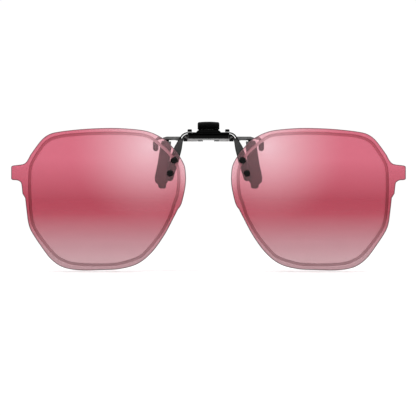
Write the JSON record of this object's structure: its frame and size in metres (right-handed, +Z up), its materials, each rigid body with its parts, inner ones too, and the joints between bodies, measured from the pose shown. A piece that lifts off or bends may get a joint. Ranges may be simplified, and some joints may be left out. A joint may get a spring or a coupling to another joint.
{
  "type": "clip on flip lenses",
  "caption": "Rimless tinted lenses on a hinged bracket that flips up from a spring clip, which grips the bridge of a pair of glasses.",
  "frame": {"origin": "middle of the jaw pin's axis, in the plane where the closed jaws meet", "axes": "+X to the wearer's left, -Y to the front, the way the lenses face, +Z up, as worn with the lenses down"},
  "size_m": [0.1448, 0.0135, 0.0546],
  "materials": {
    "tinted_lens": "clear polished plastic with a rose gradient tint",
    "black_enamel": "glossy black enamel on metal",
    "gunmetal_sheet": "dark gunmetal plated sheet, satin",
    "steel": "drawn steel wire and pins",
    "black_plastic": "moulded black plastic, semi-gloss",
    "claw_silicone": "smoky grey soft sleeve, satin",
    "nylon": "black nylon"
  },
  "bodies": {
    "clip_body": {"front_jaw": "black_enamel", "hinge_barrel": "black_enamel", "finger_pad_front": "black_plastic", "flip_pin": "steel", "jaw_pin": "steel", "front_claw_sleeve_right": "claw_silicone", "front_claw_sleeve_left": "claw_silicone", "detent_spring_right": "steel", "detent_spring_left": "steel", "detent_rivet_right": "black_enamel", "detent_rivet_left": "black_enamel", "friction_washer_right": "nylon", "friction_washer_left": "nylon", "jaw_spring_right": "steel", "jaw_spring_left": "steel"},
    "lens_unit": {"lens_bracket": "gunmetal_sheet", "lens_right": "tinted_lens", "lens_left": "tinted_lens", "lens_rivet_right_upper": "black_enamel", "lens_rivet_right_lower": "black_enamel", "lens_rivet_left_upper": "black_enamel", "lens_rivet_left_lower": "black_enamel", "lens_bushing_right_upper": "nylon", "lens_bushing_right_lower": "nylon", "lens_bushing_left_upper": "nylon", "lens_bushing_left_lower": "nylon", "rivet_cap_right_upper": "black_enamel", "rivet_cap_right_lower": "black_enamel", "rivet_cap_left_upper": "black_enamel", "rivet_cap_left_lower": "black_enamel"},
    "rear_jaw_unit": {"rear_jaw": "gunmetal_sheet", "finger_pad_rear": "black_plastic", "rear_claw_sleeve_right": "claw_silicone", "rear_claw_sleeve_left": "claw_silicone"}
  },
  "joints": [
    {"name": "lens_flip", "type": "hinge", "parent": "clip_body", "child": "lens_unit", "pos_m": [0, -0.0036, 0.0011], "axis": [-1, 0, 0], "range_deg": [0, 95]},
    {"name": "jaw_open", "type": "hinge", "parent": "clip_body", "child": "rear_jaw_unit", "pos_m": [0, 0, 0], "axis": [1, 0, 0], "range_deg": [0, 35], "stiffness_Nm_per_rad": 0.06, "springref_deg": -34.38, "deforming": ["jaw_spring_right", "jaw_spring_left"]}
  ]
}
